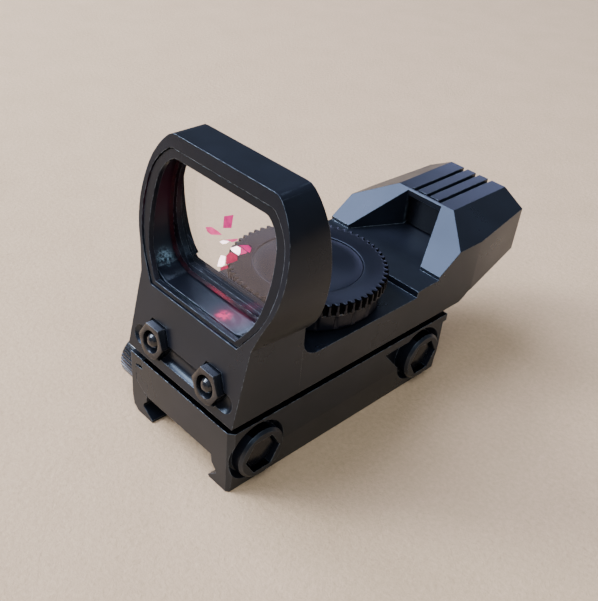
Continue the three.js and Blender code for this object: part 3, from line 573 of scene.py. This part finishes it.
def make_cap():
    """Threaded cap with a coin slot, its face very slightly crowned."""
    cap = mesh_object("turned_battery_cap", turned(180, [
        (CAP_FOOT, CAP_RADIUS - 0.2), (CAP_FOOT + 0.05, CAP_RADIUS),
        (CAP_TOP - 0.12, CAP_RADIUS), (CAP_TOP - 0.04, CAP_RADIUS - 0.04), (CAP_TOP, CAP_RADIUS - 0.14),
        (CAP_TOP + 0.01, 8.0), (CAP_TOP + 0.03, 5.0), (CAP_TOP + CAP_CROWN, 2.0),
    ]), "battery_cap")
    bm = bmesh.new()
    bmesh.ops.create_cube(bm, size=1.0)
    bmesh.ops.scale(bm, vec=[side * MM for side in COIN_SLOT], verts=bm.verts)
    turn = Matrix.Rotation(math.radians(COIN_SLOT_TURN), 3, "Z")
    bmesh.ops.rotate(bm, matrix=turn, verts=bm.verts)
    bmesh.ops.translate(bm, vec=(0, DIAL_Y * MM, (CAP_TOP + 0.1) * MM), verts=bm.verts)
    cut_mesh = bpy.data.meshes.new("coin_slot_cutter")
    bm.to_mesh(cut_mesh)
    bm.free()
    cutter = bpy.data.objects.new("coin_slot_cutter", cut_mesh)
    bpy.context.scene.collection.objects.link(cutter)
    boolean = cap.modifiers.new("slot", "BOOLEAN")
    boolean.object = cutter
    boolean.operation = "DIFFERENCE"
    boolean.solver = "EXACT"
    apply_modifiers(cap)
    bpy.data.objects.remove(cutter)
    split_edges(cap, 35)
    dress(cap, TURNED)
    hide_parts("battery_cap")


def apply_modifiers(obj):
    graph = bpy.context.evaluated_depsgraph_get()
    made = bpy.data.meshes.new_from_object(obj.evaluated_get(graph))
    obj.modifiers.clear()
    old = obj.data
    obj.data = made
    made.name = old.name
    bpy.data.meshes.remove(old)


# ---------------------------------------------------------------- lens and reticle light
def make_lens():
    """The CAD lens with its faces sorted into glass and blackened edge."""
    source = NODES["reflex_lens"]
    bm = bmesh.new()
    bm.from_mesh(source.data)
    bmesh.ops.remove_doubles(bm, verts=bm.verts, dist=SAME_PLACE / 2)
    bmesh.ops.dissolve_limit(bm, angle_limit=math.radians(0.5), verts=bm.verts, edges=bm.edges)
    bm.normal_update()
    obj = mesh_object("coated_lens", bm, BODY, rounded=False)
    dress(obj, GLASS, LENS_EDGE)
    for polygon in obj.data.polygons:
        polygon.material_index = 0 if abs(polygon.normal.y) > 0.8 else 1
    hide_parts("reflex_lens")


def lens_point(x, z, behind):
    """A point on the plane of the lens: x across, z height over the rail seat, mm behind its front."""
    return Vector((x, LENS_FRONT_Y + LENS_LEAN * z + behind, z)) * MM


RETICLE = {
    "reticle_quad": ("pink", [
        (-2.8, 38.3), (-0.6, 39.5), (-0.6, 37.1), (-2.6, 36.2),
    ]),
    "reticle_sliver": ("pale", [
        (-7.0, 34.4), (-5.5, 35.1), (-3.6, 35.1), (-2.6, 34.9), (-5.3, 33.7), (-6.4, 33.8),
    ]),
    "reticle_dash": ("white", [
        (-2.9, 33.5), (-2.2, 34.1), (-0.7, 34.6), (-1.3, 33.9), (-2.2, 33.4),
    ]),
    "reticle_dash_tail": ("pale", [
        (-1.9, 34.3), (1.4, 36.1), (1.2, 35.6), (0.1, 34.8), (-0.6, 34.7),
    ]),
    "reticle_bar": ("white", [
        (-0.1, 33.6), (1.4, 34.7), (2.3, 34.7), (2.4, 33.9), (2.1, 33.3), (0.3, 33.3),
    ]),
    "reticle_bar_side": ("pale", [
        (1.5, 34.8), (1.8, 34.9), (3.9, 34.8), (3.8, 34.5), (2.5, 33.6), (2.4, 34.7),
    ]),
    "reticle_bar_tail": ("pink", [
        (1.9, 35.1), (4.0, 36.1), (4.8, 35.9), (4.6, 35.0), (4.0, 34.9),
    ]),
    "reticle_patch": ("deep", [
        (-0.8, 31.9), (0.0, 32.9), (1.8, 33.2), (2.0, 32.3), (0.7, 31.2), (-0.6, 30.3),
    ]),
    "reticle_foot": ("white", [
        (-2.1, 31.3), (-1.0, 31.6), (-0.9, 30.1), (-1.5, 29.4), (-2.6, 28.9), (-2.4, 30.4),
    ]),
    "reticle_foot_tail": ("deep", [
        (-1.8, 29.1), (-0.1, 30.4), (0.1, 29.9), (-1.7, 28.5),
    ]),
}


def make_reticle():
    """The reflected light, as thin glowing slabs close to the front of the lens."""
    for name, (look, outline) in RETICLE.items():
        back = [lens_point(x, z, RETICLE_BACK) for x, z in outline]
        front = [lens_point(x, z, RETICLE_FRONT) for x, z in outline]
        slab(name, back, front, RETICLE_LOOK[look])


HEEL_SIDE = [
    (-12.3, 24.05), (-12.9, 24.12), (-13.35, 24.45), (-13.65, 25.0), (-13.9, 25.7), (-14.2, 26.5),
    (-16.0, 27.4), (-15.45, 25.15), (-13.95, 23.5),
]


def make_heel():
    """The low rounded step that closes the foot of the hood's rear opening."""
    outline = HEEL_SIDE + [(-x, z) for x, z in reversed(HEEL_SIDE)]
    near, far = ([Vector((x, y, z)) * MM for x, z in outline] for y in (HEEL_FRONT_Y, HEEL_REAR_Y))
    slab("hood_heel", near, far, BLACK_HOUSING)


make_dial()
make_cap()
make_heel()
make_lens()
make_reticle()


# ---------------------------------------------------------------- floor, light, camera
FLOOR_SIZE = 5                  # metres
FLOOR_GAP = 0.00005             # metres
LAMP_AIM = Vector((0, 0, 0.02))
LAMPS = {
    # direction, distance, size, power and colour
    "key": ((-0.55, -0.25, 0.79), 0.9, (0.85, 0.75), 21.0, (0.62, 0.71, 1.0)),
    "edge": ((-0.66, -0.50, 0.56), 0.9, (0.24, 0.24), 6.0, (0.78, 0.90, 1.0)),
    "back": ((-0.36, 0.90, 0.27), 0.9, (0.40, 0.22), 1.15, (0.52, 0.56, 1.0)),
    "fill": ((0.46, -0.30, 0.84), 1.2, (1.2, 1.0), 8.5, (0.80, 0.92, 1.06)),
}
SKY = (0.80, 0.90, 1.0, 1)
SKY_STRENGTH = 0.22
CAMERA_TURN = 43.63             # degrees round from the front, up, and rolled
CAMERA_RISE = 34.87
CAMERA_ROLL = 5.37
CAMERA_PLACE = (93.57, -98.15, 109.88)
CAMERA_LENS = 51.3              # on a sensor 36 wide


def make_floor():
    """A pale fibrous board that the base stands on."""
    bpy.ops.mesh.primitive_plane_add(size=FLOOR_SIZE, location=(0, 0, FLOOR_Z - FLOOR_GAP))
    floor = bpy.context.object
    floor.name = "floor"
    m = Mat("pale_floor")
    fibre = m.math("ADD", m.times(m.noise(70, 3, 0.6), 0.25), m.times(m.noise(1100, 5, 0.75), 0.75))
    m.set(Base_Color=m.ramp(fibre, [(0.32, (0.600, 0.395, 0.225)), (0.68, (0.770, 0.516, 0.306))]))
    m.set(Roughness=0.9, Specular_IOR_Level=0.25)
    m.set(Normal=m.bump(m.noise(800, 5, 0.75), 0.8, 0.0004))
    dress(floor, m.mat)


def make_lamp(name, direction, distance, size, power, color):
    """A soft rectangular lamp that faces the object from a direction."""
    data = bpy.data.lights.new(name, "AREA")
    data.shape = "RECTANGLE"
    data.size, data.size_y = size
    data.energy = power
    data.color = color
    lamp = bpy.data.objects.new(name, data)
    bpy.context.scene.collection.objects.link(lamp)
    lamp.location = LAMP_AIM + Vector(direction).normalized() * distance
    lamp.rotation_euler = (LAMP_AIM - lamp.location).to_track_quat("-Z", "Y").to_euler()


def make_light():
    """A pale blue sky all round and the four lamps."""
    world = bpy.data.worlds.new("studio")
    bpy.context.scene.world = world
    world.use_nodes = True
    background = world.node_tree.nodes["Background"]
    background.inputs["Color"].default_value = SKY
    background.inputs["Strength"].default_value = SKY_STRENGTH
    for name, settings in LAMPS.items():
        make_lamp(name, *settings)


def make_camera():
    """The camera at the angle of the photo."""
    turn, rise, roll = (math.radians(a) for a in (CAMERA_TURN, CAMERA_RISE, CAMERA_ROLL))
    back = Vector((math.sin(turn) * math.cos(rise), -math.cos(turn) * math.cos(rise), math.sin(rise)))
    side = Vector((0, 0, 1)).cross(back).normalized()
    over = back.cross(side)
    right = side * math.cos(roll) + over * math.sin(roll)
    up = over * math.cos(roll) - side * math.sin(roll)
    data = bpy.data.cameras.new("camera")
    data.sensor_width = 36
    data.lens = CAMERA_LENS
    data.clip_start = 0.005
    camera = bpy.data.objects.new("camera", data)
    bpy.context.scene.collection.objects.link(camera)
    facing = Matrix((right, up, back)).transposed().to_4x4()
    camera.matrix_world = Matrix.Translation(Vector(CAMERA_PLACE) * MM) @ facing
    bpy.context.scene.camera = camera


make_floor()
make_light()
make_camera()
